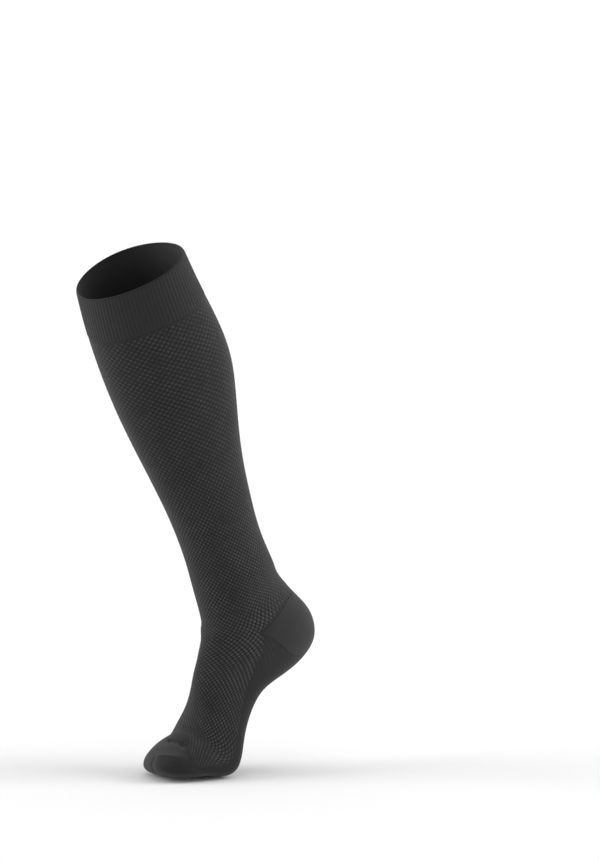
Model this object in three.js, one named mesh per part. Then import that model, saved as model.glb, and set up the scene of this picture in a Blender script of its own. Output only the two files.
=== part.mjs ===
// Knee-high compression stocking, filled out as on a leg, with the heel raised and the toes flat.
// Millimetres, +Z up, toes towards -Y, the inner (big toe) side towards +X.
// The origin is the middle of the top opening, where the wearer's leg holds the stocking up.

import * as THREE from 'three';

// Pose, in degrees and millimetres
const shankLean = 20.9;
const footPitch = 39.6;
const ankleAlongSole = -123.3;
const ankleAboveSole = 74.3;
const legSideLean = -0.03;
const heelSideShift = 1.2;
const ballSideShift = 3.2;
const heelBehindBall = 150;

// Cloth
const wall = 1.3;
const bandWall = 1.7;
const seamGap = 0.3;
const ribCount = 96;
const ribHeight = 0.5;
const ribPlainEnd = 2.0;

// Places along the stocking, measured down its middle from the rim
const bandDepth = 45;
const heelCornerAt = 374;
const heelTopAt = 353;
const heelBottomAt = 405;
const toeLineAt = 547;
const toeLineUnderSoleAt = 530;

// Places round the stocking, as shares of one turn from the front by the inner side
const columns = 48;
const heelCornerColumn = 9;
const heelCornerTurn = heelCornerColumn / columns;
const heelFullShare = 0.62;
const heelPointTurn = 0.004;
const toeLineBendTurn = 0.18;
const toeLineBendWidth = 0.18;

// How finely the solids are cut
const bandColumns = 2 * ribCount;
const legRows = 20;
const footRows = 14;
const heelRows = 8;
const toeRows = 9;
const ringSteps = 96;
const tipRingBack = 1.5;

// A table's rows as objects with the columns' names
function table(names, rows) {
  return rows.map((row) => Object.fromEntries(names.map((name, i) => [name, row[i]])));
}

// The leg, from the rim to the ankle: heights along the shank above the ankle, depths from its axis,
// and how far each side's widest point sags towards the back, as a share of the half depth
const legSections = table(
  ['frontHeight', 'backHeight', 'front', 'back', 'halfWidth', 'innerSag', 'outerSag'],
  [
    [350, 366, 46.5, 53.5, 58, 0.10, 0.10],
    [325, 336, 50, 58, 58, 0.12, 0.12],
    [290, 296, 52, 65.5, 58, 0.15, 0.15],
    [250, 254, 51, 68.5, 56.5, 0.18, 0.18],
    [208, 210, 46.5, 61, 50.5, 0.18, 0.18],
    [162, 162, 39, 52, 43, 0.14, 0.14],
    [115, 115, 32.5, 48.5, 37, 0.08, 0.08],
    [72, 72, 31, 48.5, 34.5, 0.04, 0.04],
    [40, 42, 33, 52, 34.5, 0.02, 0.02],
  ],
);

// The foot, from the ankle to the ball, in the pitched sole's frame with its zero under the ball:
// where each section meets the instep and the heel or sole, and its width, sag and instep crest
const footSections = table(
  ['topAlong', 'topUp', 'soleAlong', 'soleUp', 'halfWidth', 'innerSag', 'outerSag', 'crest'],
  [
    [-94.5, 101, -184, 84, 33, 0, 0, 0],
    [-88.5, 96, -187.5, 56, 33.5, 0, 0, 0],
    [-82, 91, -190.5, 29, 33, 0, 0, 1],
    [-73.5, 87, -180, 6.5, 32, 0, 0.05, 2],
    [-63.5, 82.5, -154, 1, 31.5, 0.05, 0.15, 4],
    [-52, 77, -123.5, 8, 32.5, 0.10, 0.30, 6],
    [-40.5, 68.5, -94.5, 16.5, 34.5, 0.15, 0.42, 8],
    [-28, 58.5, -66.5, 14, 38, 0.20, 0.46, 9],
    [-14, 51.5, -38, 4, 43.5, 0.30, 0.46, 9],
    [-5.5, 49, -5.5, -5.5, 47.5, 0.40, 0.46, 8],
  ],
);

// The toes, flat on the floor: skew moves the inner side forward, shift moves the section inward
const toeSections = table(
  ['topAlong', 'topUp', 'soleAlong', 'soleUp', 'halfWidth', 'innerSag', 'outerSag', 'crest', 'skew', 'shift'],
  [
    [32.5, 38, 16, -0.5, 46.5, 0.40, 0.45, 7, 2, 0],
    [41.5, 33, 32, 0, 43.5, 0.35, 0.45, 5, 4, 1],
    [51, 28, 46, 0.5, 37.5, 0.25, 0.50, 3, 6, 2],
    [58, 22.5, 56, 3, 28, 0.15, 0.45, 1, 7, 2],
    [62.5, 17, 61.5, 7.5, 15, 0, 0.30, 0, 5, 2],
    [64, 12.5, 64, 12, 0.3, 0, 0, 0, 0, 3],
  ],
);

// Soft folds of the knit at the toes: from and to are forward, inward and up from the floor under
// the ball, and a height below zero is a trough
const folds = [
  { from: [40, -2, 34], to: [41, 29, 30.5], width: 3.5, height: -1.5 },
  { from: [28, 0, 40.5], to: [34, 19, 36.5], width: 6, height: 0.8 },
  { from: [54, 35, 22], to: [61, 12, 21], width: 5, height: 1.2 },
  { from: [63, 10, 19], to: [62, 9, 7], width: 4, height: -1.2 },
];

// Directions in the upright plane through the foot, as [forward, up]
const lean = THREE.MathUtils.degToRad(shankLean);
const pitch = THREE.MathUtils.degToRad(footPitch);
const upShank = [Math.sin(lean), Math.cos(lean)];
const acrossShank = [Math.cos(lean), -Math.sin(lean)];
const alongSole = [Math.cos(pitch), -Math.sin(pitch)];
const offSole = [Math.sin(pitch), Math.cos(pitch)];

// A point in that plane, from two directions and the distances along them
function inPlane(start, first, a, second, b) {
  return [start[0] + first[0] * a + second[0] * b, start[1] + first[1] * a + second[1] * b];
}

// Every section as [front forward, front up, back forward, back up, half width, inner sag,
// outer sag, crest, skew, shift]
function placedSections() {
  const floor = [0, 0];
  const ankle = inPlane(floor, alongSole, ankleAlongSole, offSole, ankleAboveSole);
  const leg = legSections.map((row) => [
    ...inPlane(ankle, upShank, row.frontHeight, acrossShank, row.front),
    ...inPlane(ankle, upShank, row.backHeight, acrossShank, -row.back),
    row.halfWidth, row.innerSag, row.outerSag, 0, 0, heelSideShift + legSideLean * row.frontHeight,
  ]);
  const foot = footSections.map((row) => {
    const heelShare = THREE.MathUtils.clamp(-row.soleAlong / heelBehindBall, 0, 1);
    return [
      ...inPlane(floor, alongSole, row.topAlong, offSole, row.topUp),
      ...inPlane(floor, alongSole, row.soleAlong, offSole, row.soleUp),
      row.halfWidth, row.innerSag, row.outerSag, row.crest, 0,
      THREE.MathUtils.lerp(ballSideShift, heelSideShift, heelShare),
    ];
  });
  const toe = toeSections.map((row) => [
    row.topAlong, row.topUp, row.soleAlong, row.soleUp,
    row.halfWidth, row.innerSag, row.outerSag, row.crest, row.skew, ballSideShift + row.shift,
  ]);
  return [...leg, ...foot, ...toe];
}

// The knots of the sections: the mean of the front's and the back's distance from the rim
function sectionKnots(sections) {
  const knots = [0];
  for (let i = 1; i < sections.length; i += 1) {
    const [a, b] = [sections[i - 1], sections[i]];
    const front = Math.hypot(b[0] - a[0], b[1] - a[1]);
    const back = Math.hypot(b[2] - a[2], b[3] - a[3]);
    knots.push(knots[i - 1] + (front + back) / 2);
  }
  return knots;
}

// A natural cubic spline through values at the knots
function naturalSpline(knots, values) {
  const last = knots.length - 1;
  const bend = new Array(last + 1).fill(0);
  const pivot = new Array(last + 1).fill(0);
  for (let i = 1; i < last; i += 1) {
    const before = knots[i] - knots[i - 1];
    const after = knots[i + 1] - knots[i];
    const rise = (values[i + 1] - values[i]) / after - (values[i] - values[i - 1]) / before;
    const divisor = 2 * (before + after) - before * pivot[i - 1];
    pivot[i] = after / divisor;
    bend[i] = (6 * rise - before * bend[i - 1]) / divisor;
  }
  for (let i = last - 1; i > 0; i -= 1) bend[i] -= pivot[i] * bend[i + 1];
  return (s) => {
    let i = 0;
    while (i < last - 1 && s > knots[i + 1]) i += 1;
    const span = knots[i + 1] - knots[i];
    const a = (knots[i + 1] - s) / span;
    const b = (s - knots[i]) / span;
    const curve = ((a ** 3 - a) * bend[i] + (b ** 3 - b) * bend[i + 1]) * span ** 2 / 6;
    return a * values[i] + b * values[i + 1] + curve;
  };
}

const sections = placedSections();
const knots = sectionKnots(sections);
const tipAt = knots[knots.length - 1];
const splines = sections[0].map((_, field) => naturalSpline(knots, sections.map((row) => row[field])));
const origin = [
  (sections[0][0] + sections[0][2]) / 2,
  sections[0][9],
  (sections[0][1] + sections[0][3]) / 2,
];

// Half of the ring at s, from the front to the back, by the inner side (1) or the outer side (-1)
const halfRings = new Map();
function halfRing(s, side) {
  const key = `${s.toFixed(5)} ${side}`;
  if (halfRings.has(key)) return halfRings.get(key);
  const values = splines.map((spline) => spline(s));
  const [frontF, frontU, backF, backU, halfWidth, innerSag, outerSag, crest, skew, shift] = values;
  const sag = side > 0 ? innerSag : outerSag;
  const points = [];
  const lengths = [0];
  for (let i = 0; i <= ringSteps; i += 1) {
    const turn = Math.PI * i / ringSteps;
    const sine = side * Math.sin(turn);
    const depth = Math.cos(turn) - sag * sine * sine;
    const top = Math.max(Math.cos(turn), 0);
    points.push([
      (frontF + backF) / 2 + depth * (frontF - backF) / 2 + skew * sine,
      halfWidth * sine + shift + crest * top * top,
      (frontU + backU) / 2 + depth * (frontU - backU) / 2,
    ]);
    if (i > 0) {
      const [a, b] = [points[i - 1], points[i]];
      lengths.push(lengths[i - 1] + Math.hypot(b[0] - a[0], b[1] - a[1], b[2] - a[2]));
    }
  }
  halfRings.set(key, { points, lengths });
  return halfRings.get(key);
}

// The knit's outer face without folds, as [forward, inward, up]: s runs down from the rim, and v
// goes once round from the front by the inner side, in even steps of cloth on each half
function skin(s, v) {
  const turn = ((v % 1) + 1) % 1;
  const { points, lengths } = halfRing(s, turn <= 0.5 ? 1 : -1);
  const share = turn <= 0.5 ? 2 * turn : 2 - 2 * turn;
  const wanted = share * lengths[ringSteps];
  let i = 1;
  while (i < ringSteps && lengths[i] < wanted) i += 1;
  const part = (wanted - lengths[i - 1]) / (lengths[i] - lengths[i - 1]);
  return points[i].map((value, axis) => THREE.MathUtils.lerp(points[i - 1][axis], value, part));
}

// A forward, inward, up point in the part's own frame
function placed([forward, inward, up]) {
  return new THREE.Vector3(inward - origin[1], origin[0] - forward, up - origin[2]);
}

// The skin's directions at s and v: down the stocking, round it, and out of it
const stepDown = 0.5;
const stepRound = 0.002;
function directions(s, v) {
  const nearTip = Math.min(s, tipAt - 2 * stepDown);
  const down = placed(skin(nearTip + stepDown, v)).sub(placed(skin(nearTip - stepDown, v)));
  const round = placed(skin(nearTip, v + stepRound)).sub(placed(skin(nearTip, v - stepRound)));
  const out = new THREE.Vector3().crossVectors(down, round).normalize();
  return { down: down.divideScalar(2 * stepDown), round: round.divideScalar(2 * stepRound), out };
}

// The height of the folds at a skin point
function foldHeight(point) {
  const at = new THREE.Vector3(...point);
  let height = 0;
  for (const fold of folds) {
    const line = new THREE.Line3(new THREE.Vector3(...fold.from), new THREE.Vector3(...fold.to));
    const nearest = line.closestPointToPoint(at, true, new THREE.Vector3());
    height += fold.height * Math.exp(-nearest.distanceToSquared(at) / fold.width ** 2);
  }
  return height;
}

// Outer and inner points of the wall at s and v, with the outer one raised by relief
function wallPoints(s, v, thickness, relief) {
  const base = skin(s, v);
  const { out } = directions(s, v);
  const centre = placed(base).addScaledVector(out, foldHeight(base));
  return {
    outer: centre.clone().addScaledVector(out, relief),
    inner: centre.clone().addScaledVector(out, -thickness),
  };
}

// How far back from a seam line the cloth's edge lies along s, so that the seam is seamGap wide
function seamBack(line, v) {
  const s = line(v);
  const { down, round } = directions(s, v);
  const slope = (line(v + stepRound) - line(v - stepRound)) / (2 * stepRound);
  const oblique = slope * down.length() / round.length();
  return seamGap / 2 * Math.hypot(1, oblique) / down.length();
}

// How far v lies round from the front, from 0 at the front to 0.5 at the back
function turnFromFront(v) {
  const turn = ((v % 1) + 1) % 1;
  return Math.min(turn, 1 - turn);
}

// The heel pocket's half height at v, as a share of its full height at the back
function heelShareAt(v) {
  const share = (turnFromFront(v) - heelCornerTurn) / (0.5 - heelCornerTurn);
  if (share <= 0) return 0;
  return Math.sin(Math.PI / 2 * Math.min(1, share / heelFullShare));
}

// The seam lines, each as the place s at v
const bandLine = () => bandDepth;
const heelTopLine = (v) => heelCornerAt - (heelCornerAt - heelTopAt) * heelShareAt(v);
const heelBottomLine = (v) => heelCornerAt + (heelBottomAt - heelCornerAt) * heelShareAt(v);
function toeLine(v) {
  const under = THREE.MathUtils.smoothstep(
    turnFromFront(v), toeLineBendTurn, toeLineBendTurn + toeLineBendWidth);
  return THREE.MathUtils.lerp(toeLineAt, toeLineUnderSoleAt, under);
}

// A closed wall from a grid of outer and inner points, rows down and columns round. A ring's
// columns join up, an open patch gets end faces, and a tip closes the last row at one point.
function wallGeometry(grid, tip, isRing) {
  const positions = [];
  const index = [];
  const count = grid[0].length;
  const spans = isRing ? count : count - 1;
  const add = (point) => positions.push(point.x, point.y, point.z) / 3 - 1;
  const outer = grid.map((row) => row.map((pair) => add(pair.outer)));
  const inner = grid.map((row) => row.map((pair) => add(pair.inner)));
  const quad = (a, b, c, d) => index.push(a, b, c, a, c, d);
  for (let i = 0; i + 1 < grid.length; i += 1) {
    for (let j = 0; j < spans; j += 1) {
      const k = (j + 1) % count;
      quad(outer[i][j], outer[i + 1][j], outer[i + 1][k], outer[i][k]);
      quad(inner[i][k], inner[i + 1][k], inner[i + 1][j], inner[i][j]);
    }
  }
  const last = grid.length - 1;
  const outerTip = tip ? add(tip.outer) : 0;
  const innerTip = tip ? add(tip.inner) : 0;
  for (let j = 0; j < spans; j += 1) {
    const k = (j + 1) % count;
    quad(outer[0][j], outer[0][k], inner[0][k], inner[0][j]);
    if (tip) {
      index.push(outer[last][j], outerTip, outer[last][k]);
      index.push(inner[last][k], innerTip, inner[last][j]);
    } else {
      quad(outer[last][k], outer[last][j], inner[last][j], inner[last][k]);
    }
  }
  if (!isRing) {
    const end = count - 1;
    for (let i = 0; i < last; i += 1) {
      quad(outer[i][0], inner[i][0], inner[i + 1][0], outer[i + 1][0]);
      quad(outer[i][end], outer[i + 1][end], inner[i + 1][end], inner[i][end]);
    }
  }
  const geometry = new THREE.BufferGeometry();
  geometry.setAttribute('position', new THREE.Float32BufferAttribute(positions, 3));
  geometry.setIndex(index);
  geometry.computeVertexNormals();
  return geometry;
}

// A grid of wall points between two lines, at even shares of the way from one to the other
function gridBetween(turns, shares, firstLine, lastLine, thickness, relief) {
  return shares.map((share) => turns.map((v) => {
    const s = THREE.MathUtils.lerp(firstLine(v), lastLine(v), share);
    return wallPoints(s, v, thickness, relief(s, v));
  }));
}

// Even steps from 0 to 1, both ends kept or the last left out
function evenSteps(count, withLast) {
  return Array.from({ length: count + (withLast ? 1 : 0) }, (_, i) => i / count);
}

const noRelief = () => 0;
const pastSeam = (line) => (v) => line(v) + seamBack(line, v);
const shortOfSeam = (line) => (v) => line(v) - seamBack(line, v);

// The ribs of the top band, which fade out at the rim and at its lower edge
function ribRelief(s, v) {
  const rib = (1 + Math.cos(2 * Math.PI * ribCount * v)) / 2;
  const plainEnd = Math.min(s, bandDepth - s) < ribPlainEnd;
  return plainEnd ? 0 : ribHeight * rib;
}

function topBand() {
  const firstRib = (ribPlainEnd + seamGap) / bandDepth;
  const shares = [0, firstRib, 0.5, 1 - firstRib, 1];
  const rim = () => 0;
  const turns = evenSteps(bandColumns, false);
  return wallGeometry(
    gridBetween(turns, shares, rim, shortOfSeam(bandLine), bandWall, ribRelief), null, true);
}

function leg() {
  const grid = gridBetween(
    evenSteps(columns, false), evenSteps(legRows, true),
    pastSeam(bandLine), shortOfSeam(heelTopLine), wall, noRelief);
  return wallGeometry(grid, null, true);
}

// The heel's columns are the leg's and the foot's, with one at each end close to its two points
function heel() {
  const point = heelCornerTurn + heelPointTurn;
  const between = evenSteps(columns, false).filter((v) => v > point && v < 1 - point);
  const turns = [point, ...between, 1 - point];
  const grid = gridBetween(
    turns, evenSteps(heelRows, true), pastSeam(heelTopLine), shortOfSeam(heelBottomLine), wall, noRelief);
  return wallGeometry(grid, null, false);
}

function foot() {
  const grid = gridBetween(
    evenSteps(columns, false), evenSteps(footRows, true),
    pastSeam(heelBottomLine), shortOfSeam(toeLine), wall, noRelief);
  return wallGeometry(grid, null, true);
}

function toe() {
  const lastRing = () => tipAt - tipRingBack;
  const grid = gridBetween(
    evenSteps(columns, false), evenSteps(toeRows, true), pastSeam(toeLine), lastRing, wall, noRelief);
  const [topF, topU, soleF, soleU] = sections[sections.length - 1];
  const outer = placed([(topF + soleF) / 2, sections[sections.length - 1][9], (topU + soleU) / 2]);
  const inner = outer.clone().add(new THREE.Vector3(0, wall, 0));
  return wallGeometry(grid, { outer, inner }, true);
}

// Each piece of the stocking with its own knit
const pieces = [
  { name: 'top_band', geometry: topBand(), color: 0x2f2f31, roughness: 0.9 },
  { name: 'leg', geometry: leg(), color: 0x333335, roughness: 0.88 },
  { name: 'heel', geometry: heel(), color: 0x3f3f41, roughness: 0.82 },
  { name: 'foot', geometry: foot(), color: 0x343436, roughness: 0.88 },
  { name: 'toe', geometry: toe(), color: 0x3b3b3d, roughness: 0.84 },
];

const group = new THREE.Group();
group.name = 'compression_stocking';
for (const piece of pieces) {
  const material = new THREE.MeshStandardMaterial({
    color: piece.color, roughness: piece.roughness, metalness: 0,
  });
  const mesh = new THREE.Mesh(piece.geometry, material);
  mesh.name = piece.name;
  group.add(mesh);
}

export default group;
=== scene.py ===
"""Knee-high compression stocking, filled out as on a leg, with the heel raised and the toes flat.

Lengths in the tables are millimetres, and become metres where a mesh is made.
s runs down the stocking from its rim, and v goes once round it from the front by the inner side.
"""
from math import cos, radians, sin

import bpy
import numpy as np
from mathutils import Matrix, Vector


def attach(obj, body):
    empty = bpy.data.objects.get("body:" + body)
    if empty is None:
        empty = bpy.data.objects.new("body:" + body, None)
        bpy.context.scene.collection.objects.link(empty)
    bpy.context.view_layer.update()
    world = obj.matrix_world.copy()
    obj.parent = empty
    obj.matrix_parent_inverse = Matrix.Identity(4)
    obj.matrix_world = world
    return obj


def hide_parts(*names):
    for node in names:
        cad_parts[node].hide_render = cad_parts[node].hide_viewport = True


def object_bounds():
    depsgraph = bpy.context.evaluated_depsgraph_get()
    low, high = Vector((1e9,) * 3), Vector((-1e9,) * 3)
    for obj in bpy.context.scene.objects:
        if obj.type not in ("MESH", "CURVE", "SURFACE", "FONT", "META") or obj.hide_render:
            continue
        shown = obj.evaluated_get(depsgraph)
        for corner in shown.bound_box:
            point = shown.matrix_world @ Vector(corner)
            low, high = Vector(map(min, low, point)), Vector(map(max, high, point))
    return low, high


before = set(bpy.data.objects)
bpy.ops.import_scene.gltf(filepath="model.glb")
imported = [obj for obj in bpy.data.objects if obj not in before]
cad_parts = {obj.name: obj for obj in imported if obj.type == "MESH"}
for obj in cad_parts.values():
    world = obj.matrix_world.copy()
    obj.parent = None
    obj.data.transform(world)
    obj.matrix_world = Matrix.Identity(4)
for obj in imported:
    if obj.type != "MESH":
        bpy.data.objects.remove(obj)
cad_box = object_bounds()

MM = 0.001

# Pose, in degrees and millimetres
SHANK_LEAN = 20.9
FOOT_PITCH = 39.6
ANKLE_ALONG_SOLE = -123.3
ANKLE_ABOVE_SOLE = 74.3
LEG_SIDE_LEAN = -0.03
HEEL_SIDE_SHIFT = 1.2
BALL_SIDE_SHIFT = 3.2
HEEL_BEHIND_BALL = 150.0

# Cloth
WALL = 1.3
BAND_WALL = 1.7
RIB_COUNT = 96
RIB_HEIGHT = 0.35
RIB_FADE = 2.2
DOT_COUNT = 58
DOT_HEIGHT = 0.32

# Places along the stocking
BAND_DEPTH = 45.0
HEEL_CORNER_AT = 374.0
HEEL_TOP_AT = 353.0
HEEL_BOTTOM_AT = 405.0
TOE_LINE_AT = 547.0
TOE_LINE_SIDE_AT = 552.5
TOE_LINE_UNDER_AT = 530.0

# Places round the stocking, as shares of one turn from the front
HEEL_CORNER_TURN = 9 / 48
HEEL_FULL_SHARE = 0.62
HEEL_POINT_TURN = 0.002
# where the toe line eases to its side and to its underside
TOE_LINE_SIDE_TURNS = (0.08, 0.17)
TOE_LINE_UNDER_TURNS = (0.20, 0.38)

# The dotted knit: how far apart its rows of dots are, by place along the stocking
DOT_PITCH = [
    (0, 4.9), (215, 4.9), (290, 4.2), (350, 4.15), (390, 4.6), (505, 4.5), (522, 4.0), (532, 3.2),
    (542, 2.8), (553, 2.3), (600, 2.3),
]
# where the dotted knit ends at the plain sole, as a turn from the front
SOLE_LINE = [(340, 0.19), (374, 0.192), (416, 0.203), (442, 0.225), (469, 0.243), (600, 0.243)]
PLAIN_STRIP = 4.0
# how strongly the dots stand out, by place along the stocking
DOT_STRENGTH = [(0, 0.34), (200, 0.40), (300, 0.58), (380, 0.68), (600, 0.70)]
# where the dotted knit ends towards the toes, and how softly, by turn from the front
PATTERN_END = [(0, 533), (0.05, 535), (0.08, 541), (0.13, 548), (0.17, 552), (0.5, 552)]
PATTERN_FADE = [(0, 12), (0.06, 9), (0.12, 4), (0.5, 3)]

# Leg sections from the rim to the ankle: front height, back height, front, back, half width,
# inner sag, outer sag
LEG_SECTIONS = [
    (350, 366, 46.5, 53.5, 58, 0.10, 0.10),
    (325, 336, 50, 58, 58, 0.12, 0.12),
    (290, 296, 52, 65.5, 58, 0.15, 0.15),
    (250, 254, 51, 68.5, 56.5, 0.18, 0.18),
    (208, 210, 46.5, 61, 50.5, 0.18, 0.18),
    (162, 162, 39, 52, 43, 0.14, 0.14),
    (115, 115, 32.5, 48.5, 37, 0.08, 0.08),
    (72, 72, 31, 48.5, 34.5, 0.04, 0.04),
    (40, 42, 33, 52, 34.5, 0.02, 0.02),
]

# Foot sections from the ankle to the ball: top along, top up, sole along, sole up, half width,
# inner sag, outer sag, crest
FOOT_SECTIONS = [
    (-94.5, 101, -184, 84, 33, 0, 0, 0),
    (-88.5, 96, -187.5, 56, 33.5, 0, 0, 0),
    (-82, 91, -190.5, 29, 33, 0, 0, 1),
    (-73.5, 87, -180, 6.5, 32, 0, 0.05, 2),
    (-63.5, 82.5, -154, 1, 31.5, 0.05, 0.15, 4),
    (-52, 77, -123.5, 8, 32.5, 0.10, 0.30, 6),
    (-40.5, 68.5, -94.5, 16.5, 34.5, 0.15, 0.42, 8),
    (-28, 58.5, -66.5, 14, 38, 0.20, 0.46, 9),
    (-14, 51.5, -38, 4, 43.5, 0.30, 0.46, 9),
    (-5.5, 49, -5.5, -5.5, 47.5, 0.40, 0.46, 8),
]

# Toe sections: top along, top up, sole along, sole up, half width, inner sag, outer sag, crest,
# skew, shift
TOE_SECTIONS = [
    (32.5, 38, 16, -0.5, 46.5, 0.40, 0.45, 7, 2, 0),
    (41.5, 33, 32, 0, 43.5, 0.35, 0.45, 5, 4, 1),
    (51, 28, 46, 0.5, 37.5, 0.25, 0.50, 3, 6, 2),
    (58, 22.5, 56, 3, 28, 0.15, 0.45, 1, 7, 2),
    (62.5, 17, 61.5, 7.5, 15, 0, 0.30, 0, 5, 2),
    (64, 12.5, 64, 12, 0.3, 0, 0, 0, 0, 3),
]

# Soft folds: from and to as (forward, inward, up) from the floor under the ball, width, height.
# A height below 0 is a trough.
FOLDS = [
    ((40.5, 2, 33.4), (41, 27, 31), 3.4, -0.8),
    ((28, 0, 40.5), (34, 19, 36.5), 6.0, 0.8),
    ((54, 35, 22), (61, 12, 21), 5.0, 1.2),
    ((55.5, 33, 22.5), (61, 14, 21.5), 1.6, 0.35),
    ((63, 10, 19), (62, 9, 7), 4.0, -1.2),
]

# Short pleats across the crease over the toes: the first place, the step from one to the next, and
# each one's reach
PLEAT_FIRST = np.array([42.5, 7, 31.6])
PLEAT_STEP = np.array([0.1, 3.4, -0.2])
PLEAT_REACH = np.array([-3.6, -4.5, 2.6])
PLEAT_COUNT = 7
PLEAT_WIDTH = 1.1
PLEAT_HEIGHT = -0.95
PLEAT_STARTS = [PLEAT_FIRST + k * PLEAT_STEP for k in range(PLEAT_COUNT)]
FOLDS += [(start, start + PLEAT_REACH, PLEAT_WIDTH, PLEAT_HEIGHT) for start in PLEAT_STARTS]


def in_plane(start, first, a, second, b):
    """A point of the upright plane through the foot, as (forward, up)."""
    return [start[0] + first[0] * a + second[0] * b, start[1] + first[1] * a + second[1] * b]


def placed_sections():
    """Every section as front, back, half width, sags, crest, skew and shift."""
    lean, pitch = radians(SHANK_LEAN), radians(FOOT_PITCH)
    up_shank, across_shank = (sin(lean), cos(lean)), (cos(lean), -sin(lean))
    along_sole, off_sole = (cos(pitch), -sin(pitch)), (sin(pitch), cos(pitch))
    floor = (0.0, 0.0)
    ankle = in_plane(floor, along_sole, ANKLE_ALONG_SOLE, off_sole, ANKLE_ABOVE_SOLE)
    rows = []
    for front_height, back_height, front, back, half_width, inner_sag, outer_sag in LEG_SECTIONS:
        rows.append([
            *in_plane(ankle, up_shank, front_height, across_shank, front),
            *in_plane(ankle, up_shank, back_height, across_shank, -back),
            half_width, inner_sag, outer_sag, 0, 0, HEEL_SIDE_SHIFT + LEG_SIDE_LEAN * front_height,
        ])
    for top, top_up, sole, sole_up, half_width, inner_sag, outer_sag, crest in FOOT_SECTIONS:
        heel_share = min(max(-sole / HEEL_BEHIND_BALL, 0), 1)
        shift = BALL_SIDE_SHIFT + (HEEL_SIDE_SHIFT - BALL_SIDE_SHIFT) * heel_share
        rows.append([
            *in_plane(floor, along_sole, top, off_sole, top_up),
            *in_plane(floor, along_sole, sole, off_sole, sole_up),
            half_width, inner_sag, outer_sag, crest, 0, shift,
        ])
    for *fields, shift in TOE_SECTIONS:
        rows.append([*fields, BALL_SIDE_SHIFT + shift])
    return np.array(rows, float)


def section_knots(rows):
    """The mean of the front's and the back's distance from the rim, at each section."""
    front = np.linalg.norm(np.diff(rows[:, 0:2], axis=0), axis=1)
    back = np.linalg.norm(np.diff(rows[:, 2:4], axis=0), axis=1)
    return np.concatenate([[0], np.cumsum((front + back) / 2)])


def spline_bends(knots, values):
    """Second derivatives of a natural cubic spline through rows of values."""
    n = len(knots)
    system, rise = np.eye(n), np.zeros_like(values)
    for i in range(1, n - 1):
        before, after = knots[i] - knots[i - 1], knots[i + 1] - knots[i]
        system[i, i - 1:i + 2] = before, 2 * (before + after), after
        rise[i] = 6 * ((values[i + 1] - values[i]) / after - (values[i] - values[i - 1]) / before)
    return np.linalg.solve(system, rise)


SECTIONS = placed_sections()
KNOTS = section_knots(SECTIONS)
BENDS = spline_bends(KNOTS, SECTIONS)
TIP_AT = KNOTS[-1]
ORIGIN = [
    (SECTIONS[0][0] + SECTIONS[0][2]) / 2,
    SECTIONS[0][9],
    (SECTIONS[0][1] + SECTIONS[0][3]) / 2,
]


def section_at(s):
    """The ten section values at each s."""
    i = np.clip(np.searchsorted(KNOTS, s) - 1, 0, len(KNOTS) - 2)
    span = (KNOTS[i + 1] - KNOTS[i])[:, None]
    a = (KNOTS[i + 1] - s)[:, None] / span
    b = (s - KNOTS[i])[:, None] / span
    curve = ((a ** 3 - a) * BENDS[i] + (b ** 3 - b) * BENDS[i + 1]) * span ** 2 / 6
    return a * SECTIONS[i] + b * SECTIONS[i + 1] + curve


def ring_points(rows, side, turn):
    """Points of the half ring, as (forward, inward, up). side is 1 for the inner one, -1 outer."""
    front_f, front_u, back_f, back_u, half_width, inner_sag, outer_sag, crest, skew, shift = (
        rows[..., k] for k in range(10))
    sine = side * np.sin(turn)
    depth = np.cos(turn) - np.where(side > 0, inner_sag, outer_sag) * sine ** 2
    top = np.maximum(np.cos(turn), 0)
    return np.stack([
        (front_f + back_f) / 2 + depth * (front_f - back_f) / 2 + skew * sine,
        half_width * sine + shift + crest * top ** 2,
        (front_u + back_u) / 2 + depth * (front_u - back_u) / 2,
    ], axis=-1)


# Angles of even steps of cloth on each half ring, tabled along the stocking
TABLE_STEP = 0.5
RING_STEPS = 64


def turn_tables():
    """For the inner and the outer half, the angle of each even step, row by row."""
    places = np.arange(0, TIP_AT + TABLE_STEP, TABLE_STEP)
    rows = section_at(np.minimum(places, TIP_AT))[:, None, :]
    turns = np.linspace(0, np.pi, RING_STEPS + 1)
    shares = np.linspace(0, 1, RING_STEPS + 1)
    tables = []
    for side in (1.0, -1.0):
        points = ring_points(rows, side, turns[None, :])
        lengths = np.linalg.norm(np.diff(points, axis=1), axis=2)
        along = np.concatenate([np.zeros((len(places), 1)), np.cumsum(lengths, axis=1)], axis=1)
        tables.append(np.array([np.interp(shares * row[-1], row, turns) for row in along]))
    return np.stack(tables)


TURN_TABLES = turn_tables()


def skin(s, v):
    """The knit's smooth outer face, as (forward, inward, up), for arrays s and v of one shape.
    A place above the rim or past the tip is held at it."""
    s, v = np.broadcast_arrays(np.asarray(s, float), np.asarray(v, float))
    flat_s = np.clip(s.ravel(), 0, TIP_AT)
    flat_v = v.ravel() % 1
    inner = flat_v <= 0.5
    share = np.where(inner, 2 * flat_v, 2 - 2 * flat_v) * RING_STEPS
    place = flat_s / TABLE_STEP
    i = np.minimum(place.astype(int), TURN_TABLES.shape[1] - 2)
    j = np.minimum(share.astype(int), RING_STEPS - 1)
    half = np.where(inner, 0, 1)
    a, b = place - i, share - j
    turn = ((1 - a) * ((1 - b) * TURN_TABLES[half, i, j] + b * TURN_TABLES[half, i, j + 1])
            + a * ((1 - b) * TURN_TABLES[half, i + 1, j] + b * TURN_TABLES[half, i + 1, j + 1]))
    points = ring_points(section_at(flat_s), np.where(inner, 1.0, -1.0), turn)
    return points.reshape(*s.shape, 3)


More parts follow.
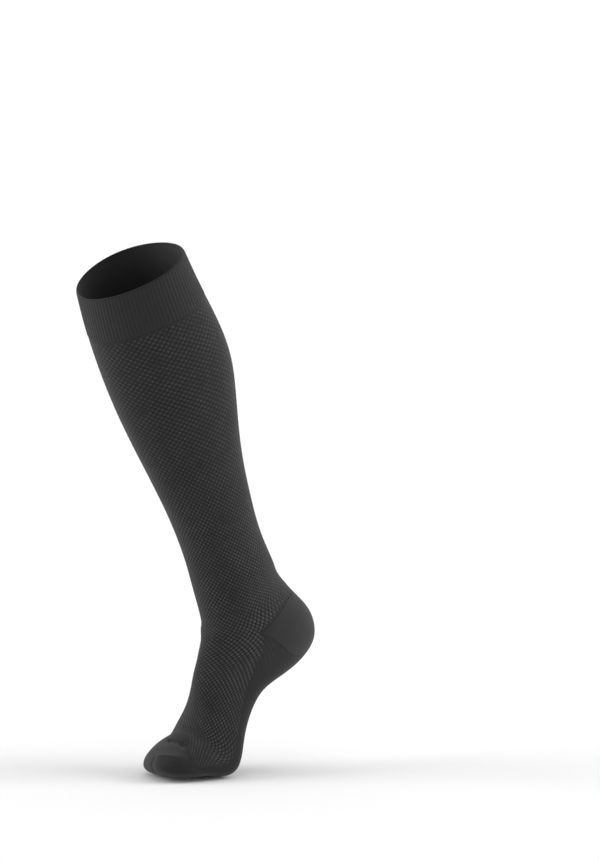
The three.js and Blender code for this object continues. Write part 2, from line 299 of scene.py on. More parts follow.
def placed(points):
    """Forward, inward, up in millimetres to the part's own frame, still in millimetres."""
    return np.stack([
        points[..., 1] - ORIGIN[1], ORIGIN[0] - points[..., 0], points[..., 2] - ORIGIN[2],
    ], axis=-1)


def smoothstep(x, low, high):
    """0 at low and 1 at high, with soft ends; low may be the larger of the two."""
    t = np.clip((x - low) / (high - low), 0, 1)
    return t * t * (3 - 2 * t)


def from_front(v):
    """How far v lies round from the front, from 0 to 0.5 at the back."""
    turn = np.asarray(v, float) % 1
    return np.minimum(turn, 1 - turn)


def fold_height(points):
    """Height of all the folds at points of the smooth face."""
    height = np.zeros(points.shape[:-1])
    for start, end, width, rise in FOLDS:
        start, end = np.array(start, float), np.array(end, float)
        along = end - start
        t = np.clip((points - start) @ along / (along @ along), 0, 1)[..., None]
        square = ((points - start - t * along) ** 2).sum(axis=-1)
        height += rise * np.exp(-square / width ** 2)
    return height


def unit(vectors):
    return vectors / np.maximum(np.linalg.norm(vectors, axis=-1, keepdims=True), 1e-12)


# Steps along and round the stocking over which slopes are taken
STEP_S = 0.2
STEP_V = 0.0005


def surface(s, v, relief):
    """Base points, base normals, heights and final normals of the outer face, in millimetres."""
    s, v = np.broadcast_arrays(np.asarray(s, float), np.asarray(v, float))
    inside = np.clip(s, STEP_S, TIP_AT - 2 * STEP_S)
    base = skin(s, v)
    below, above = skin(inside + STEP_S, v), skin(inside - STEP_S, v)
    after, before = skin(inside, v + STEP_V), skin(inside, v - STEP_V)
    down = placed(below) - placed(above)
    round_ = placed(after) - placed(before)
    normal = unit(np.cross(down, round_))
    height = relief(s, v) + fold_height(base)
    rise_s = (relief(inside + STEP_S, v) + fold_height(below)
              - relief(inside - STEP_S, v) - fold_height(above))
    rise_v = (relief(inside, v + STEP_V) + fold_height(after)
              - relief(inside, v - STEP_V) - fold_height(before))
    e = (down ** 2).sum(axis=-1)
    f = (down * round_).sum(axis=-1)
    g = (round_ ** 2).sum(axis=-1)
    det = np.maximum(e * g - f * f, 1e-9)
    slope = (((g * rise_s - f * rise_v) / det)[..., None] * down
             + ((e * rise_v - f * rise_s) / det)[..., None] * round_)
    return placed(base), normal, height, unit(normal - slope)


# Seam lines, each as the place s at v
def heel_share(v):
    share = (from_front(v) - HEEL_CORNER_TURN) / (0.5 - HEEL_CORNER_TURN)
    return np.where(share <= 0, 0, np.sin(np.pi / 2 * np.clip(share / HEEL_FULL_SHARE, 0, 1)))


def band_line(v):
    return np.full_like(v, BAND_DEPTH)


def heel_top_line(v):
    return HEEL_CORNER_AT - (HEEL_CORNER_AT - HEEL_TOP_AT) * heel_share(v)


def heel_bottom_line(v):
    return HEEL_CORNER_AT + (HEEL_BOTTOM_AT - HEEL_CORNER_AT) * heel_share(v)


def toe_line(v):
    side = smoothstep(from_front(v), *TOE_LINE_SIDE_TURNS)
    under = smoothstep(from_front(v), *TOE_LINE_UNDER_TURNS)
    over = TOE_LINE_AT + (TOE_LINE_SIDE_AT - TOE_LINE_AT) * side
    return over + (TOE_LINE_UNDER_AT - over) * under


# The dotted knit
def table_at(rows, x):
    places, values = zip(*rows)
    return np.interp(x, places, values)


# Rows of dots are counted in these steps, at this turn on both sides of the front
COUNT_STEP = 0.5
COUNT_TURN = 0.12


def count_table():
    """Places along the stocking, and the rows of dots down to each, measured on the cloth beside
    the front. The count is a whole number at the heel's corners."""
    places = np.arange(0, TIP_AT, COUNT_STEP)
    lengths = sum(
        np.linalg.norm(np.diff(skin(places, np.full_like(places, turn)), axis=0), axis=1)
        for turn in (COUNT_TURN, 1 - COUNT_TURN)) / 2
    counts = np.concatenate([[0], np.cumsum(lengths / table_at(DOT_PITCH, places[1:]))])
    at_corner = np.interp(HEEL_CORNER_AT, places, counts)
    return places, counts + np.ceil(at_corner) - at_corner


COUNT_PLACES, COUNTS = count_table()


def count_at(s):
    """Rows of dots from the rim to s, a whole number at the heel's corners."""
    return np.interp(s, COUNT_PLACES, COUNTS)


def place_of(count):
    return np.interp(count, COUNTS, COUNT_PLACES)


# The plain strip fades to dots between these shares of its width, and the turns that stand just
# before the heel's corners hold its ends
STRIP_EDGES = (0.45 * PLAIN_STRIP, 1.1 * PLAIN_STRIP)
STRIP_TURNS = (HEEL_CORNER_TURN - 0.016, HEEL_CORNER_TURN - 0.004)
# Dots are weaker behind the ankle, and faint below the heel
BEHIND_LOSS = 0.3
FAINT_SHARE = 0.2


def lattice(s, v):
    """1 on a dot, -1 in a pit between dots."""
    return np.cos(2 * np.pi * DOT_COUNT * v) * np.cos(2 * np.pi * count_at(s))


def leg_mask(s, v):
    """How strongly the leg is dotted, down to 0 on the plain strips along the band and the heel."""
    top = smoothstep(s - BAND_DEPTH, 0.8, 3.0)
    heel = smoothstep(heel_top_line(v) - s, *STRIP_EDGES)
    side = smoothstep(from_front(v), *STRIP_TURNS)
    behind = 1 - BEHIND_LOSS * smoothstep(from_front(v), 0.2, 0.32) * smoothstep(s, 280.0, 330.0)
    return table_at(DOT_STRENGTH, s) * behind * top * (1 - side * (1 - heel))


def foot_mask(s, v):
    """How strongly the foot is dotted: over the instep, faintly below the heel, not on the sole."""
    turn = from_front(v)
    line = table_at(SOLE_LINE, s)
    sole = 1 - smoothstep(turn, line - 0.008, line + 0.004)
    near_line = 1 - smoothstep(turn - line, 0.02, 0.085)
    faint = FAINT_SHARE * near_line * smoothstep(s, 432.0, 405.0)
    corner = smoothstep(s - heel_bottom_line(v), *STRIP_EDGES)
    side = smoothstep(turn, *STRIP_TURNS)
    toe = smoothstep(table_at(PATTERN_END, turn) - s, 0.0, table_at(PATTERN_FADE, turn))
    return table_at(DOT_STRENGTH, s) * np.maximum(sole, faint) * toe * (1 - side * (1 - corner))


def dots(mask):
    def relief(s, v):
        return DOT_HEIGHT * mask(s, v) * lattice(s, v)
    return relief


def ribs(s, v):
    rib = 0.5 + 0.5 * np.cos(2 * np.pi * RIB_COUNT * v)
    ends = smoothstep(s, 1.2, RIB_FADE) * smoothstep(BAND_DEPTH - s, 0.0, RIB_FADE)
    return RIB_HEIGHT * rib * ends


def plain(s, v):
    return np.zeros_like(s)


# Meshes
# How far along an edge rounded in two steps its middle lies, as a share of the radius
BEVEL = 1 - np.sqrt(0.5)


def add_mesh(name, points, faces, corner_uv, normals=None, values=None):
    """A mesh object from points in millimetres, faces of three or four corners, and corner UVs."""
    mesh = bpy.data.meshes.new(name)
    mesh.from_pydata((points * MM).tolist(), [], faces)
    mesh.polygons.foreach_set("use_smooth", np.ones(len(mesh.polygons), bool))
    layer = mesh.uv_layers.new(name="knit")
    layer.data.foreach_set("uv", np.asarray(corner_uv, np.float32).ravel())
    for attribute, value in (values or {}).items():
        mesh.attributes.new(attribute, "FLOAT", "POINT").data.foreach_set(
            "value", np.asarray(value, np.float32))
    if normals is not None:
        mesh.normals_split_custom_set_from_vertices(normals.tolist())
    mesh.update()
    obj = bpy.data.objects.new(name, mesh)
    bpy.context.scene.collection.objects.link(obj)
    return obj


def ring_wall(name, places, turns, wall, radius, relief, uv_at, mask=None, inner_every=8):
    """A closed tube of cloth. places is rows by columns of s on the outer face, from edge to edge,
    and radius how far each column's edges are rounded, at the start and at the end."""
    rows, columns = places.shape
    start, end = places[0], places[-1]
    s_rows, depths, keep = [], [], []

    def add(s, depth, smooth):
        s_rows.append(s)
        depths.append(np.broadcast_to(depth, (columns,)))
        keep.append(smooth)

    first, last = radius
    add(start, first, False)
    add(start + BEVEL * first, BEVEL * first, False)
    add(start + first, 0 * first, True)
    for row in places[1:-1]:
        add(row, 0.0, True)
    add(end - last, 0 * last, True)
    add(end - BEVEL * last, BEVEL * last, False)
    add(end, last, False)
    add(end, wall - last, False)
    add(end - BEVEL * last, wall - BEVEL * last, False)
    add(end - last, wall, False)
    inner = places[1:-1][inner_every::inner_every][::-1]
    for row in inner:
        add(row, wall, False)
    add(start + first, wall, False)
    add(start + BEVEL * first, wall - BEVEL * first, False)
    add(start, wall - first, False)

    s = np.stack(s_rows)
    v = np.broadcast_to(turns, s.shape)
    depth = np.stack(depths)
    base, normal, height, final = surface(s, v, relief)
    outer_share = np.clip(1 - depth / wall, 0, 1)
    points = base + normal * (height * outer_share - depth)[..., None]
    smooth = np.array(keep)[:, None, None]
    normals = np.where(smooth, final, 0.0)
    total = len(s)
    i, j = np.meshgrid(np.arange(total), np.arange(columns), indexing="ij")
    below, after = (i + 1) % total, (j + 1) % columns
    quads = np.stack([
        i * columns + j, below * columns + j, below * columns + after, i * columns + after,
    ], axis=-1).reshape(-1, 4)
    v_after = np.append(turns[1:], turns[0] + 1)
    corner_s = np.stack([s[i, j], s[below, j], s[below, after], s[i, after]], axis=-1)
    corner_v = np.stack([turns[j], turns[j], v_after[j], v_after[j]], axis=-1)
    uv = np.stack(uv_at(corner_s, corner_v), axis=-1).reshape(-1, 2)
    values = {"dotted": mask(s, v).ravel()} if mask else None
    return add_mesh(name, points.reshape(-1, 3), quads.tolist(), uv, normals.reshape(-1, 3), values)


# Knit in the UV map: the wales round the plain knit, and the height of one course
WALE_COUNT = 348
COURSE = 0.85
RIB_COURSE = 1.1


def dot_uv(s, v):
    return DOT_COUNT * v, count_at(s)


def rib_uv(s, v):
    return RIB_COUNT * v, s / RIB_COURSE


def stitch_uv(s, v):
    return WALE_COUNT * v, s / COURSE


def stretch(front_rows, first, first_front, last, last_front):
    """Rows of s at every column, from rows at the front stretched between two lines."""
    share = ((front_rows - first_front) / (last_front - first_front))[:, None]
    return first[None, :] * (1 - share) + last[None, :] * share


# Mesh columns to a dot or a rib, and rows of dots to a mesh row
DOT_SAMPLES = 4
RIB_SAMPLES = 8
ROW_STEP = 0.25
DOT_TURNS = np.arange(DOT_COUNT * DOT_SAMPLES) / (DOT_COUNT * DOT_SAMPLES)
# Gaps and edge rounding at the joins: in front the knit runs on, and at the heel it is a seam
FRONT_JOIN_GAP = 0.01
SEAM_GAP = 0.05
FRONT_ROUND = 0.02
SEAM_ROUND = 0.35
SEAM_TURNS = (HEEL_CORNER_TURN - 0.012, HEEL_CORNER_TURN)
RIM_ROUND = 0.8
BAND_JOIN_ROUND = 0.06
TOE_JOIN_ROUND = 0.04
# Between these places the mesh rows follow the rows of dots straight round
LEG_LOCK_END = 318.0
FOOT_LOCK_START = 430.0
FOOT_LOCK_END = 512.0
# Mesh rows of the band near its rim and, measured up from it, near its lower edge
BAND_RIM_ROWS = [0.0, 1.3, 1.6, 1.9, 2.3, 2.9, 4.0]
BAND_LOWER_ROWS = [2.9, 2.2, 1.6, 1.1, 0.6, FRONT_JOIN_GAP]
BAND_MIDDLE_ROWS = 9


def join_gap(v):
    return FRONT_JOIN_GAP + (SEAM_GAP - FRONT_JOIN_GAP) * smoothstep(from_front(v), *SEAM_TURNS)


def join_radius(v):
    """Edge rounding along the heel's line, and almost none in front, where the knit runs on."""
    return FRONT_ROUND + (SEAM_ROUND - FRONT_ROUND) * smoothstep(from_front(v), *SEAM_TURNS)


def row_place(s):
    """The mesh row nearest s that lies on a whole step of the rows of dots."""
    return place_of(np.round(count_at(s) / ROW_STEP) * ROW_STEP)


def rows_between(first, last, spare):
    """Mesh rows by count of dots, from first to last and the spare past it."""
    return place_of(np.arange(first, last + spare, ROW_STEP))


def build_band():
    turns = np.arange(RIB_COUNT * RIB_SAMPLES) / (RIB_COUNT * RIB_SAMPLES)
    rows = np.concatenate([
        BAND_RIM_ROWS,
        np.linspace(6.0, BAND_DEPTH - 4.0, BAND_MIDDLE_ROWS),
        BAND_DEPTH - np.array(BAND_LOWER_ROWS),
    ])
    places = np.broadcast_to(rows[:, None], (len(rows), len(turns))).copy()
    radius = (np.full(len(turns), RIM_ROUND), np.full(len(turns), BAND_JOIN_ROUND))
    return ring_wall("band_knit", places, turns, BAND_WALL, radius, ribs, rib_uv, inner_every=2)


def build_leg():
    turns = DOT_TURNS
    first = band_line(turns) + FRONT_JOIN_GAP
    last = heel_top_line(turns) - join_gap(turns)
    lock_end = row_place(LEG_LOCK_END)
    first_count = np.ceil((count_at(BAND_DEPTH) + 0.15) / ROW_STEP) * ROW_STEP
    locked = rows_between(first_count, count_at(lock_end), 0.01)
    front = rows_between(count_at(lock_end) + ROW_STEP, count_at(HEEL_CORNER_AT), -0.01)
    front = np.append(front, HEEL_CORNER_AT)
    lower = stretch(front, np.full_like(turns, lock_end), lock_end, last, HEEL_CORNER_AT)
    places = np.vstack([first[None, :], np.repeat(locked[:, None], len(turns), axis=1), lower])
    radius = (np.full(len(turns), BAND_JOIN_ROUND), join_radius(turns))
    return ring_wall("leg_knit", places, turns, WALL, radius, dots(leg_mask), dot_uv, leg_mask)


def build_foot():
    turns = DOT_TURNS
    first = heel_bottom_line(turns) + join_gap(turns)
    last = toe_line(turns) - FRONT_JOIN_GAP
    lock_start, lock_end = row_place(FOOT_LOCK_START), row_place(FOOT_LOCK_END)
    front = rows_between(count_at(HEEL_CORNER_AT) + ROW_STEP, count_at(lock_start), -0.01)
    front = np.append(HEEL_CORNER_AT, front)
    upper = stretch(front, first, HEEL_CORNER_AT, np.full_like(turns, lock_start), lock_start)
    locked = rows_between(count_at(lock_start), count_at(lock_end), 0.01)
    rest = rows_between(count_at(lock_end) + ROW_STEP, count_at(TOE_LINE_AT), -0.1)
    rest = np.append(rest, TOE_LINE_AT)
    lower = stretch(rest, np.full_like(turns, lock_end), lock_end, last, TOE_LINE_AT)
    places = np.vstack([upper, np.repeat(locked[:, None], len(turns), axis=1), lower])
    radius = (join_radius(turns), np.full(len(turns), TOE_JOIN_ROUND))
    return ring_wall("foot_knit", places, turns, WALL, radius, dots(foot_mask), dot_uv, foot_mask)


HEEL_ROWS = 56
HEEL_COLUMNS = 150
HEEL_ROUND = 0.4
# how far the heel's columns crowd towards its corners, and the rows beside its edges
HEEL_CROWDING = 0.54
HEEL_EDGE_ROWS = [0, 0.002, 0.006]


def heel_relief(s, v):
    """The heel's edges sink to its seam lines."""
    off = np.minimum(s - heel_top_line(v), heel_bottom_line(v) - s)
    near = np.clip(1 - off / HEEL_ROUND, 0, 1)
    return -HEEL_ROUND * (1 - np.sqrt(np.maximum(1 - near ** 2, 0)))


def build_heel():
    point = HEEL_CORNER_TURN + HEEL_POINT_TURN
    ease = np.linspace(0, 1, HEEL_COLUMNS)
    crowded = ease - HEEL_CROWDING * np.sin(2 * np.pi * ease) / (2 * np.pi)
    turns = point + (1 - 2 * point) * crowded
    first, last = heel_top_line(turns) + SEAM_GAP, heel_bottom_line(turns) - SEAM_GAP
    even = np.linspace(0, 1, HEEL_ROWS)
    edge_rows = np.array(HEEL_EDGE_ROWS)
    shares = np.concatenate([edge_rows, even[1:-1], 1 - edge_rows[::-1]])[:, None]
    s = first[None, :] * (1 - shares) + last[None, :] * shares
    v = np.broadcast_to(turns, s.shape)
    base, normal, height, final = surface(s, v, heel_relief)
    rows, columns = s.shape
    outer = base + normal * height[..., None]
    inner = base - normal * WALL
    points = np.concatenate([outer.reshape(-1, 3), inner.reshape(-1, 3)])
    count = rows * columns
    i, j = np.meshgrid(np.arange(rows - 1), np.arange(columns - 1), indexing="ij")
    a, b = i * columns + j, (i + 1) * columns + j
    c, d = b + 1, a + 1
    face = np.stack([a, b, c, d], axis=-1).reshape(-1, 4)
    back = np.stack([d, c, b, a], axis=-1).reshape(-1, 4) + count
    # the border, once round anticlockwise as seen from outside
    border = np.concatenate([
        np.arange(rows) * columns,
        (rows - 1) * columns + np.arange(1, columns),
        np.arange(rows - 2, -1, -1) * columns + columns - 1,
        np.arange(columns - 2, 0, -1),
    ])
    after = np.roll(border, -1)
    side = np.stack([after, border, border + count, after + count], axis=-1)
    faces = np.concatenate([face, back, side])
    flat_s = np.concatenate([s.ravel(), s.ravel()])
    flat_v = np.concatenate([v.ravel(), v.ravel()])
    uv = np.stack(stitch_uv(flat_s[faces], flat_v[faces]), axis=-1).reshape(-1, 2)
    edge = np.zeros((rows, columns), bool)
    edge[[0, -1], :] = edge[:, [0, -1]] = True
    normals = np.where(edge[..., None], 0.0, final).reshape(-1, 3)
    normals = np.concatenate([normals, np.zeros_like(normals)])
    return add_mesh("heel_knit", points, faces.tolist(), uv, normals)


TOE_COLUMNS = 320
TOE_ROWS = 60
# Rows before the tip: where the even ones end, and each one after, measured back from the tip
TIP_ROWS_FROM = 2.2
TIP_STEPS = (1.6, 1.1, 0.7, 0.4, 0.15)
TOE_INNER_EVERY = 4


def build_toe():
    turns = np.arange(TOE_COLUMNS) / TOE_COLUMNS
    first = toe_line(turns) + FRONT_JOIN_GAP
    radius = TOE_JOIN_ROUND
    even = np.linspace(0, 1, TOE_ROWS)[1:, None]
    s_rows = [first, first + BEVEL * radius, first + radius]
    s_rows += list((first + radius)[None, :] * (1 - even) + (TIP_AT - TIP_ROWS_FROM) * even)
    s_rows += [np.full_like(turns, TIP_AT - step) for step in TIP_STEPS]
    outer_count = len(s_rows)
    depths = [radius, BEVEL * radius] + [0.0] * (outer_count - 2)
    inner_rows = [s_rows[k] for k in range(outer_count - 3, 2, -TOE_INNER_EVERY)]
    inner_rows += [first + radius, first + BEVEL * radius, first]
    depths += [WALL] * (len(inner_rows) - 2) + [WALL - BEVEL * radius, WALL - radius]
    s = np.stack(s_rows + inner_rows)
    base, normal, height, final = surface(s, np.broadcast_to(turns, s.shape), plain)
    depth = np.array(depths)[:, None]
    points = (base + normal * (height - depth)[..., None]).reshape(-1, 3)
    rows, columns = s.shape

    last = SECTIONS[-1]
    tip = placed(np.array([(last[0] + last[2]) / 2, last[9], (last[1] + last[3]) / 2]))
    outer_tip, inner_tip = len(points), len(points) + 1
    points = np.vstack([points, tip, tip + [0, WALL, 0]])

    faces, corner_s, corner_v = [], [], []
    after = np.append(turns[1:], 1.0)
    next_column = [(j + 1) % columns for j in range(columns)]
    for i in range(rows):
        if i == outer_count - 1:
            continue
        below = (i + 1) % rows
        for j, k in enumerate(next_column):
            here, under = i * columns, below * columns
            faces.append((here + j, under + j, under + k, here + k))
            corner_s += [s[i, j], s[below, j], s[below, k], s[i, k]]
            corner_v += [turns[j], turns[j], after[j], after[j]]
    for ring, pole, outward in ((outer_count - 1, outer_tip, 1), (outer_count, inner_tip, -1)):
        for j, k in enumerate(next_column):
            corners = [(ring * columns + j, s[ring, j], turns[j]),
                       (pole, TIP_AT, (turns[j] + after[j]) / 2),
                       (ring * columns + k, s[ring, k], after[j])][::outward]
            faces.append(tuple(corner[0] for corner in corners))
            corner_s += [corner[1] for corner in corners]
            corner_v += [corner[2] for corner in corners]
    uv = np.stack(stitch_uv(np.array(corner_s), np.array(corner_v)), axis=-1)
    keep = np.zeros((rows, 1, 1), bool)
    keep[2:outer_count] = True
    normals = np.where(keep, final, 0.0).reshape(-1, 3)
    normals = np.vstack([normals, [0, -1, 0], [0, 0, 0]])
    return add_mesh("toe_knit", points, faces, uv, normals)


# Materials

# Cloth colours as linear reflectance, and the fuzz that lightens it where it turns away
MESH = 0.0212
# the dots and pits are the knit's own pattern, with a painted highlight on the dots and painted
# shade in the pits
DOT_AND_HIGHLIGHT = 0.0623
PIT_AND_SHADE = 0.0042
STRIP = 0.0142
# the share of those four that is left over the foot, as painted shade that darkens the knit from
# the ankle down over the foot
FOOT_SHADE_SHARE = 0.81
FOOT_SHADE_AT = (340.0, 470.0)
HEEL_GREY = 0.0152
TOE_GREY = 0.0120
# the ribs' crowns, and their grooves darkened as painted shade
BAND_CROWN = 0.0188
BAND_GROOVE_SHADE = 0.0173
# painted shade: a darker line along the band's rim
BAND_RIM_SHADE = 0.0132
SHEEN = 0.12


class Nodes:
    """Short calls that add shader nodes to one tree."""

    def __init__(self, tree):
        self.tree = tree

    def link(self, value, socket):
        if isinstance(value, bpy.types.NodeSocket):
            self.tree.links.new(value, socket)
        else:
            socket.default_value = value

    def math(self, operation, a, b=0.0, c=0.0):
        node = self.tree.nodes.new("ShaderNodeMath")
        node.operation = operation
        for value, socket in zip((a, b, c), node.inputs):
            self.link(value, socket)
        return node.outputs[0]

    def ramp(self, value, low, high):
        node = self.tree.nodes.new("ShaderNodeMapRange")
        node.interpolation_type = "SMOOTHSTEP"
        self.link(value, node.inputs["Value"])
        node.inputs["From Min"].default_value = low
        node.inputs["From Max"].default_value = high
        return node.outputs[0]

    def mix(self, factor, a, b):
        node = self.tree.nodes.new("ShaderNodeMix")
        node.data_type = "RGBA"
        self.link(factor, node.inputs[0])
        self.link(a, node.inputs[6])
        self.link(b, node.inputs[7])
        return node.outputs[2]

    def uv(self):
        node = self.tree.nodes.new("ShaderNodeUVMap")
        node.uv_map = "knit"
        split = self.tree.nodes.new("ShaderNodeSeparateXYZ")
        self.tree.links.new(node.outputs[0], split.inputs[0])
        return split.outputs[0], split.outputs[1]

    def attribute(self, name):
        node = self.tree.nodes.new("ShaderNodeAttribute")
        node.attribute_name = name
        return node.outputs["Fac"]

    def noise(self, scale, detail=2.0, roughness=0.5):
        place = self.tree.nodes.new("ShaderNodeTexCoord")
        node = self.tree.nodes.new("ShaderNodeTexNoise")
        node.inputs["Scale"].default_value = scale
        node.inputs["Detail"].default_value = detail
        node.inputs["Roughness"].default_value = roughness
        self.tree.links.new(place.outputs["Object"], node.inputs["Vector"])
        return node.outputs[0]

    def stitches(self, wale, course):
        """Height of plain knit stitches: two slanted arms to a wale, one V to a course."""
        across = self.math("FRACT", wale)
        arm = self.math("ABSOLUTE", self.math("SUBTRACT", across, 0.5))
        phase = self.math("ADD", course, arm)
        wave = self.math("ABSOLUTE", self.math("SINE", self.math("MULTIPLY", phase, np.pi)))
        edge = self.math("SUBTRACT", 1.0, self.math("POWER", self.math("MULTIPLY", arm, 2.0), 4.0))
        middle = self.ramp(arm, 0.0, 0.12)
        return self.math("MULTIPLY", wave, self.math("MULTIPLY", edge, middle))

    def bump(self, height, strength, distance):
        node = self.tree.nodes.new("ShaderNodeBump")
        node.inputs["Strength"].default_value = strength
        node.inputs["Distance"].default_value = distance
        self.link(height, node.inputs["Height"])
        return node.outputs[0]


def new_material(name):
    material = bpy.data.materials.new(name)
    material.use_nodes = True
    tree = material.node_tree
    return material, Nodes(tree), tree.nodes["Principled BSDF"]


def grey(value):
    """Neutral charcoal of that brightness."""
    return (value, value, value, 1.0)


def finish_cloth(shader, roughness, level=0.13):
    shader.inputs["Roughness"].default_value = roughness
    shader.inputs["Sheen Weight"].default_value = SHEEN
    shader.inputs["Sheen Roughness"].default_value = 0.5
    shader.inputs["Sheen Tint"].default_value = (0.8, 0.8, 0.8, 1)
    shader.inputs["Specular IOR Level"].default_value = level


def yarn_colour(nodes, colour, amount, share=1.0):
    """That share of the colour, with the flecks of spun yarn and broad faint unevenness."""
    fleck = nodes.ramp(nodes.noise(900.0, 3.0, 0.6), 0.35, 0.65)
    broad = nodes.ramp(nodes.noise(28.0, 2.0), 0.3, 0.7)
    node = nodes.tree.nodes.new("ShaderNodeHueSaturation")
    value = nodes.math("ADD", 1 - amount, nodes.math("MULTIPLY", fleck, 2 * amount))
    uneven = nodes.math("ADD", 0.95, nodes.math("MULTIPLY", broad, 0.1))
    value = nodes.math("MULTIPLY", value, uneven)
    nodes.link(nodes.math("MULTIPLY", value, share), node.inputs["Value"])
    nodes.link(colour, node.inputs["Color"])
    return node.outputs[0]


def dotted_material():
    material, nodes, shader = new_material("dotted_knit")
    u, c = nodes.uv()
    turn = 2 * np.pi
    wave = nodes.math("MULTIPLY", nodes.math("COSINE", nodes.math("MULTIPLY", u, turn)),
                      nodes.math("COSINE", nodes.math("MULTIPLY", c, turn)))
    mask = nodes.attribute("dotted")
    # the knit's own pattern of dots and pits, with the dots lightened as painted highlight and the
    # pits darkened as painted shade
    raised = nodes.ramp(wave, 0.05, 0.85)
    sunk = nodes.ramp(nodes.math("MULTIPLY", wave, -1.0), 0.0, 0.8)
    dot = nodes.mix(raised, grey(MESH), grey(DOT_AND_HIGHLIGHT))
    pit = nodes.mix(nodes.math("MULTIPLY", sunk, 0.8), dot, grey(PIT_AND_SHADE))
    patches = nodes.ramp(nodes.noise(55.0, 3.0), 0.3, 0.7)
    single = nodes.ramp(nodes.noise(230.0, 1.0), 0.3, 0.7)
    worn = nodes.math("ADD", 0.5, nodes.math("ADD", nodes.math("MULTIPLY", patches, 0.4),
                                             nodes.math("MULTIPLY", single, 0.6)))
    colour = nodes.mix(nodes.math("MULTIPLY", mask, worn), grey(STRIP), pit)
    # painted shade: the dotted knit darkens from the ankle down over the foot
    foot_shade = nodes.ramp(c, *(float(count_at(place)) for place in FOOT_SHADE_AT))
    share = nodes.math("SUBTRACT", 1.0, nodes.math("MULTIPLY", foot_shade, 1 - FOOT_SHADE_SHARE))
    stitch = nodes.stitches(nodes.math("MULTIPLY", u, WALE_COUNT / DOT_COUNT),
                            nodes.math("MULTIPLY", c, 6.0))
    nodes.link(yarn_colour(nodes, colour, 0.12, share), shader.inputs["Base Color"])
    height = nodes.math("ADD", nodes.math("MULTIPLY", stitch, 0.4),
                        nodes.math("MULTIPLY", raised, mask))
    nodes.link(nodes.bump(height, 0.35, 0.0003), shader.inputs["Normal"])
    finish_cloth(shader, 0.86)
    return material


def plain_material(name, value):
    material, nodes, shader = new_material(name)
    u, c = nodes.uv()
    stitch = nodes.stitches(u, c)
    # painted shade: darker between the stitches than on them
    colour = nodes.mix(stitch, grey(value * 0.82), grey(value * 1.08))
    nodes.link(yarn_colour(nodes, colour, 0.10), shader.inputs["Base Color"])
    nodes.link(nodes.bump(stitch, 0.35, 0.0002), shader.inputs["Normal"])
    finish_cloth(shader, 0.82, 0.18)
    return material


def rib_material():
    material, nodes, shader = new_material("ribbed_knit")
    u, c = nodes.uv()
    wave = nodes.math("COSINE", nodes.math("MULTIPLY", u, 2 * np.pi))
    crown = nodes.ramp(wave, -0.6, 0.9)
    # painted shade: the band darkens towards its rim
    rim = nodes.ramp(c, 0.9, 2.2)
    stitch = nodes.stitches(nodes.math("MULTIPLY", u, 2.0), c)
    # painted shade: darker in the grooves between the ribs
    colour = nodes.mix(crown, grey(BAND_GROOVE_SHADE), grey(BAND_CROWN))
    colour = nodes.mix(rim, grey(BAND_RIM_SHADE), colour)
    nodes.link(yarn_colour(nodes, colour, 0.10), shader.inputs["Base Color"])
    nodes.link(nodes.bump(stitch, 0.35, 0.0002), shader.inputs["Normal"])
    finish_cloth(shader, 0.86)
    return material


band, leg, heel, foot, toe = build_band(), build_leg(), build_heel(), build_foot(), build_toe()
dotted = dotted_material()
for piece, node, slot, material in (
    (band, "top_band", "rib_knit", rib_material()),
    (leg, "leg", "pattern_knit", dotted),
    (heel, "heel", "plain_knit", plain_material("heel_plain_knit", HEEL_GREY)),
    (foot, "foot", "pattern_knit", dotted),
    (toe, "toe", "plain_knit", plain_material("toe_plain_knit", TOE_GREY)),
):
    piece.data.materials.append(material)
    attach(piece, "root")
    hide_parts(node)

# Floor, light and camera
FLOOR_AT = cad_box[0][2]
FLOOR_REACH = 60.0

# Level directions to the camera's right and from the stocking towards the camera
SIDE = Vector((0.6293, 0.7771, 0))
TOWARDS = Vector((0.7771, -0.6293, 0))
UP = Vector((0, 0, 1))

# The camera's place, how far it tilts down in degrees, and how far its aim is turned from there
CAMERA_AT = Vector((3.2733, -2.5662, 0.1685))
CAMERA_TILT = 3.5
AIM_RIGHT = 0.02223
AIM_DOWN = 0.01475

# Strength of each light, and of the sky overhead and near the horizon, which fades between two
# heights of view
RIGHT_LIGHT = 1.98
LEFT_LIGHT = 1.85
TOP_LIGHT = 0.53
SKY = 0.61
HORIZON = 2.1
HORIZON_TOP = 0.22
HORIZON_FULL = 0.10


def build_floor():
    """A wide level floor."""
    material, _, shader = new_material("pale_floor")
    shader.inputs["Base Color"].default_value = (0.8, 0.8, 0.8, 1)
    shader.inputs["Roughness"].default_value = 0.9
    shader.inputs["Specular IOR Level"].default_value = 0.1
    mesh = bpy.data.meshes.new("floor")
    signs = ((-1, -1), (1, -1), (1, 1), (-1, 1))
    corners = [(x * FLOOR_REACH, y * FLOOR_REACH, 0) for x, y in signs]
    mesh.from_pydata(corners, [], [(0, 1, 2, 3)])
    mesh.materials.append(material)
    floor = bpy.data.objects.new("floor", mesh)
    floor.location = (0, 0, FLOOR_AT)
    bpy.context.scene.collection.objects.link(floor)


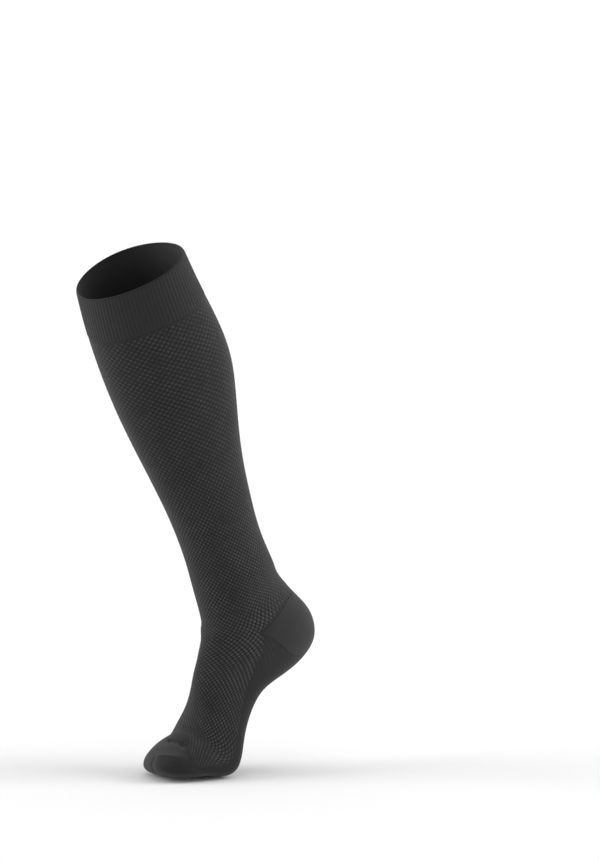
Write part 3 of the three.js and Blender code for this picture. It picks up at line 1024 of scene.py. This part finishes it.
def soft_sun(name, towards, strength, angle):
    """Even soft light from that direction, as from a far wide soft box."""
    data = bpy.data.lights.new(name, "SUN")
    data.energy = strength
    data.angle = radians(angle)
    light = bpy.data.objects.new(name, data)
    light.rotation_euler = Vector(towards).to_track_quat("Z", "Y").to_euler()
    bpy.context.scene.collection.objects.link(light)


def build_camera():
    """The photograph's view: a long lens a little above the ankle, on the inner side in front."""
    tilt = radians(CAMERA_TILT)
    forward = -cos(tilt) * TOWARDS - sin(tilt) * UP
    up = -sin(tilt) * TOWARDS + cos(tilt) * UP
    look = (forward + AIM_RIGHT * SIDE - AIM_DOWN * up).normalized()
    side = look.cross(UP).normalized()
    top = side.cross(look)
    data = bpy.data.cameras.new("camera")
    data.lens = 189.0
    data.sensor_width = 36.0
    data.clip_end = 100
    camera = bpy.data.objects.new("camera", data)
    turn = Matrix((side, top, -look)).transposed().to_4x4()
    camera.matrix_world = Matrix.Translation(CAMERA_AT) @ turn
    bpy.context.scene.collection.objects.link(camera)
    bpy.context.scene.camera = camera


def build_light():
    """Soft light from both sides and above, in a pale studio that is brightest at the horizon."""
    soft_sun("right_box", SIDE + 0.466 * UP, RIGHT_LIGHT, 45)
    soft_sun("left_box", -SIDE + 0.364 * UP, LEFT_LIGHT, 45)
    soft_sun("overhead", UP, TOP_LIGHT, 70)
    world = bpy.data.worlds.new("studio")
    bpy.context.scene.world = world
    world.use_nodes = True
    tree = world.node_tree
    background = tree.nodes["Background"]
    background.inputs["Color"].default_value = (1, 1, 1, 1)
    place = tree.nodes.new("ShaderNodeTexCoord")
    split = tree.nodes.new("ShaderNodeSeparateXYZ")
    tree.links.new(place.outputs["Generated"], split.inputs[0])
    fade = tree.nodes.new("ShaderNodeMapRange")
    fade.interpolation_type = "SMOOTHSTEP"
    for name, value in (("From Min", HORIZON_TOP), ("From Max", HORIZON_FULL),
                        ("To Min", SKY), ("To Max", HORIZON)):
        fade.inputs[name].default_value = value
    tree.links.new(split.outputs[2], fade.inputs["Value"])
    tree.links.new(fade.outputs[0], background.inputs["Strength"])


build_floor()
build_camera()
build_light()
bpy.context.scene.view_settings.view_transform = "Standard"
